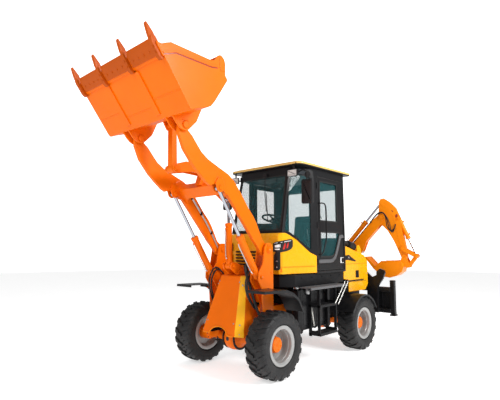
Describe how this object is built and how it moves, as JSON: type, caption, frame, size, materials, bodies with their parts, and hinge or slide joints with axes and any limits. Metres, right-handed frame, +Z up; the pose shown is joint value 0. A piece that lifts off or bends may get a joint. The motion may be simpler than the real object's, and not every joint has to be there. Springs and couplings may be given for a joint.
{
  "type": "backhoe loader",
  "caption": "Articulated backhoe loader with a raised front bucket on lift arms, glazed cab, rear engine cover, side-shift digging arm and telescopic stabilisers.",
  "frame": {"origin": "middle of the machine's footprint, on the ground", "axes": "+X forward, +Y to the machine's left, +Z up"},
  "size_m": [5.6946, 2.2618, 3.787],
  "materials": {
    "paint_orange": "satin",
    "paint_yellow": "satin",
    "paint_cream": "satin",
    "paint_black": "satin",
    "paint_amber": "satin",
    "rim_grey": "satin",
    "tyre": "matte",
    "tread_grey": "satin",
    "chrome": "polished",
    "glass": "polished",
    "seat_vinyl": "satin",
    "engine_iron": "matte",
    "lamp_housing": "matte"
  },
  "bodies": {
    "rear_chassis": {"rear_frame": "paint_black", "frame_side_plates": "paint_black", "hinge_yoke": "paint_black", "frame_crossmembers": "paint_black", "engine_block": "engine_iron", "cab_floor": "paint_black", "cab_shell": "paint_black", "cab_glass": "glass", "cab_roof": "paint_cream", "hood": "paint_yellow", "driver_seat": "seat_vinyl", "steering_column": "paint_black", "engine_cover": "paint_yellow", "air_cleaner": "paint_black", "rear_fenders": "paint_black", "side_tanks": "paint_black", "side_steps": "tread_grey", "rear_view_mirrors": "paint_black", "work_lamps": "lamp_housing", "slide_frame": "paint_black", "rear_axle": "paint_orange"},
    "front_chassis": {"front_frame": "paint_black", "front_cover": "paint_orange", "front_fenders": "paint_black", "front_axle": "paint_orange"},
    "front_left_wheel": {"front_left_tyre": "tyre", "front_left_rim": "rim_grey"},
    "front_right_wheel": {"front_right_tyre": "tyre", "front_right_rim": "rim_grey"},
    "rear_left_wheel": {"rear_left_tyre": "tyre", "rear_left_rim": "rim_grey"},
    "rear_right_wheel": {"rear_right_tyre": "tyre", "rear_right_rim": "rim_grey"},
    "loader_arm_frame": {"loader_arms": "paint_orange"},
    "loader_shovel": {"loader_bucket": "paint_orange"},
    "rocker": {"rocker_arm": "paint_orange"},
    "tilt_link": {"bucket_link": "paint_orange"},
    "lift_barrels": {"lift_cylinder_barrels": "paint_orange"},
    "lift_rods": {"lift_cylinder_rods": "chrome"},
    "tilt_barrel": {"tilt_cylinder_barrel": "paint_orange"},
    "tilt_rod": {"tilt_cylinder_rod": "chrome"},
    "left_door_panel": {"left_door": "paint_black", "left_door_glass": "glass"},
    "right_door_panel": {"right_door": "paint_black", "right_door_glass": "glass"},
    "left_stabiliser_leg": {"left_stabiliser": "paint_black"},
    "right_stabiliser_leg": {"right_stabiliser": "paint_black"},
    "carriage": {"backhoe_carriage": "paint_black"},
    "swing": {"swing_post": "paint_amber"},
    "boom": {"backhoe_boom": "paint_amber"},
    "dipper": {"backhoe_dipper": "paint_amber"},
    "digging_bucket": {"backhoe_bucket": "paint_amber"},
    "lever": {"bucket_lever": "paint_amber"},
    "drive_link": {"bucket_drive_link": "paint_amber"},
    "boom_barrel": {"boom_cylinder_barrel": "paint_amber"},
    "boom_rod": {"boom_cylinder_rod": "chrome"},
    "dipper_barrel": {"dipper_cylinder_barrel": "paint_amber"},
    "dipper_rod": {"dipper_cylinder_rod": "chrome"},
    "bucket_barrel": {"bucket_cylinder_barrel": "paint_amber"},
    "bucket_rod": {"bucket_cylinder_rod": "chrome"}
  },
  "joints": [
    {"name": "steering", "type": "hinge", "parent": "rear_chassis", "child": "front_chassis", "pos_m": [-0.31274, -0.1284, 0.63], "axis": [0, 0, 1], "range_deg": [-35, 35]},
    {"name": "front_left_wheel_spin", "type": "hinge", "parent": "front_chassis", "child": "front_left_wheel", "pos_m": [0.76726, 0.5466, 0.42], "axis": [0, 1, 0], "continuous": true},
    {"name": "front_right_wheel_spin", "type": "hinge", "parent": "front_chassis", "child": "front_right_wheel", "pos_m": [0.76726, -0.8034, 0.42], "axis": [0, 1, 0], "continuous": true},
    {"name": "rear_left_wheel_spin", "type": "hinge", "parent": "rear_chassis", "child": "rear_left_wheel", "pos_m": [-1.39074, 0.5466, 0.42], "axis": [0, 1, 0], "continuous": true},
    {"name": "rear_right_wheel_spin", "type": "hinge", "parent": "rear_chassis", "child": "rear_right_wheel", "pos_m": [-1.39074, -0.8034, 0.42], "axis": [0, 1, 0], "continuous": true},
    {"name": "loader_lift", "type": "hinge", "parent": "front_chassis", "child": "loader_arm_frame", "pos_m": [0.66726, -0.1284, 1.6], "axis": [0, -1, 0], "range_deg": [-90, 0]},
    {"name": "loader_tilt", "type": "hinge", "parent": "loader_arm_frame", "child": "loader_shovel", "pos_m": [2.11026, -0.1284, 2.99], "axis": [0, 1, 0], "range_deg": [-45, 90]},
    {"name": "rocker_turn", "type": "hinge", "parent": "loader_arm_frame", "child": "rocker", "pos_m": [1.38726, -0.1284, 2.62], "axis": [0, -1, 0], "range_deg": [-11, 21]},
    {"name": "bucket_link_turn", "type": "hinge", "parent": "loader_shovel", "child": "tilt_link", "pos_m": [1.90826, -0.1284, 3.122], "axis": [0, -1, 0], "range_deg": [-29.5, 58.5]},
    {"name": "lift_cylinder_turn", "type": "hinge", "parent": "front_chassis", "child": "lift_barrels", "pos_m": [0.81826, -0.1284, 1.25], "axis": [0, -1, 0], "range_deg": [-99, 0.5]},
    {"name": "lift_cylinder_stroke", "type": "slide", "parent": "lift_barrels", "child": "lift_rods", "axis": [0.5476, 0, 0.8367], "range_m": [-0.526, 0.002]},
    {"name": "tilt_cylinder_turn", "type": "hinge", "parent": "front_chassis", "child": "tilt_barrel", "pos_m": [0.89726, -0.1284, 1.38], "axis": [0, -1, 0], "range_deg": [-89, 0.5]},
    {"name": "tilt_cylinder_stroke", "type": "slide", "parent": "tilt_barrel", "child": "tilt_rod", "axis": [0.0326, 0, 0.9995], "range_m": [-0.29, 0.002]},
    {"name": "left_door_hinge", "type": "hinge", "parent": "rear_chassis", "child": "left_door_panel", "pos_m": [-0.31274, 0.5166, 1.985], "axis": [0, 0, -1], "range_deg": [0, 75]},
    {"name": "right_door_hinge", "type": "hinge", "parent": "rear_chassis", "child": "right_door_panel", "pos_m": [-0.31274, -0.7734, 1.985], "axis": [0, 0, 1], "range_deg": [0, 75]},
    {"name": "left_stabiliser_slide", "type": "slide", "parent": "rear_chassis", "child": "left_stabiliser_leg", "axis": [0, 0, -1], "range_m": [0, 0.455]},
    {"name": "right_stabiliser_slide", "type": "slide", "parent": "rear_chassis", "child": "right_stabiliser_leg", "axis": [0, 0, -1], "range_m": [0, 0.455]},
    {"name": "backhoe_side_shift", "type": "slide", "parent": "rear_chassis", "child": "carriage", "axis": [0, 1, 0], "range_m": [0, 0.828]},
    {"name": "backhoe_swing", "type": "hinge", "parent": "carriage", "child": "swing", "pos_m": [-2.40974, -0.5424, 0.75], "axis": [0, 0, -1], "range_deg": [-160, 0]},
    {"name": "boom_lift", "type": "hinge", "parent": "swing", "child": "boom", "pos_m": [-2.42363, -0.46361, 1.15], "axis": [-0.9848, -0.1736, 0], "range_deg": [0, 75]},
    {"name": "dipper_reach", "type": "hinge", "parent": "boom", "child": "dipper", "pos_m": [-2.59381, 0.5015, 2.21], "axis": [0.9848, 0.1736, 0], "range_deg": [0, 95]},
    {"name": "digging_bucket_curl", "type": "hinge", "parent": "dipper", "child": "digging_bucket", "pos_m": [-2.6598, 0.87573, 1.458], "axis": [0.9848, 0.1736, 0], "range_deg": [0, 100]},
    {"name": "bucket_lever_turn", "type": "hinge", "parent": "dipper", "child": "lever", "pos_m": [-2.65459, 0.84618, 1.61], "axis": [0.9848, 0.1736, 0], "range_deg": [-0.5, 68]},
    {"name": "bucket_drive_link_turn", "type": "hinge", "parent": "lever", "child": "drive_link", "pos_m": [-2.69539, 1.07761, 1.48], "axis": [0.9848, 0.1736, 0], "range_deg": [-42, 0.5]},
    {"name": "boom_cylinder_turn", "type": "hinge", "parent": "swing", "child": "boom_barrel", "pos_m": [-2.43848, -0.37941, 0.915], "axis": [-0.9848, -0.1736, 0], "range_deg": [-0.5, 79]},
    {"name": "boom_cylinder_stroke", "type": "slide", "parent": "boom_barrel", "child": "boom_rod", "axis": [-0.1015, 0.5755, 0.8115], "range_m": [-0.309, 0.002]},
    {"name": "dipper_cylinder_turn", "type": "hinge", "parent": "boom", "child": "dipper_barrel", "pos_m": [-2.46132, -0.24991, 1.608], "axis": [0.9848, 0.1736, 0], "range_deg": [-0.5, 3]},
    {"name": "dipper_cylinder_stroke", "type": "slide", "parent": "dipper_barrel", "child": "dipper_rod", "axis": [-0.1131, 0.6416, 0.7587], "range_m": [-0.432, 0.002]},
    {"name": "bucket_cylinder_turn", "type": "hinge", "parent": "dipper", "child": "bucket_barrel", "pos_m": [-2.6459, 0.79694, 2.17], "axis": [0.9848, 0.1736, 0], "range_deg": [-0.5, 13]},
    {"name": "bucket_cylinder_stroke", "type": "slide", "parent": "bucket_barrel", "child": "bucket_rod", "axis": [-0.0663, 0.376, -0.9243], "range_m": [-0.277, 0.002]}
  ],
  "couplings": [
    {"joint": "rocker_turn", "follows": "loader_tilt", "ratio": 0.23},
    {"joint": "bucket_link_turn", "follows": "loader_tilt", "ratio": 0.64},
    {"joint": "lift_cylinder_turn", "follows": "loader_lift", "ratio": 1.0872},
    {"joint": "lift_cylinder_stroke", "follows": "loader_lift", "m_per_rad": 0.33154},
    {"joint": "tilt_cylinder_turn", "follows": "loader_lift", "ratio": 0.96778},
    {"joint": "tilt_cylinder_stroke", "follows": "loader_lift", "m_per_rad": 0.18144},
    {"joint": "bucket_lever_turn", "follows": "digging_bucket_curl", "ratio": 0.66676},
    {"joint": "bucket_drive_link_turn", "follows": "digging_bucket_curl", "ratio": -0.40619},
    {"joint": "boom_cylinder_turn", "follows": "boom_lift", "ratio": 1.0269},
    {"joint": "boom_cylinder_stroke", "follows": "boom_lift", "m_per_rad": -0.23199},
    {"joint": "dipper_cylinder_turn", "follows": "dipper_reach", "ratio": 0.014658},
    {"joint": "dipper_cylinder_stroke", "follows": "dipper_reach", "m_per_rad": -0.25755},
    {"joint": "bucket_cylinder_turn", "follows": "digging_bucket_curl", "ratio": 0.1111},
    {"joint": "bucket_cylinder_stroke", "follows": "digging_bucket_curl", "m_per_rad": -0.1557}
  ]
}
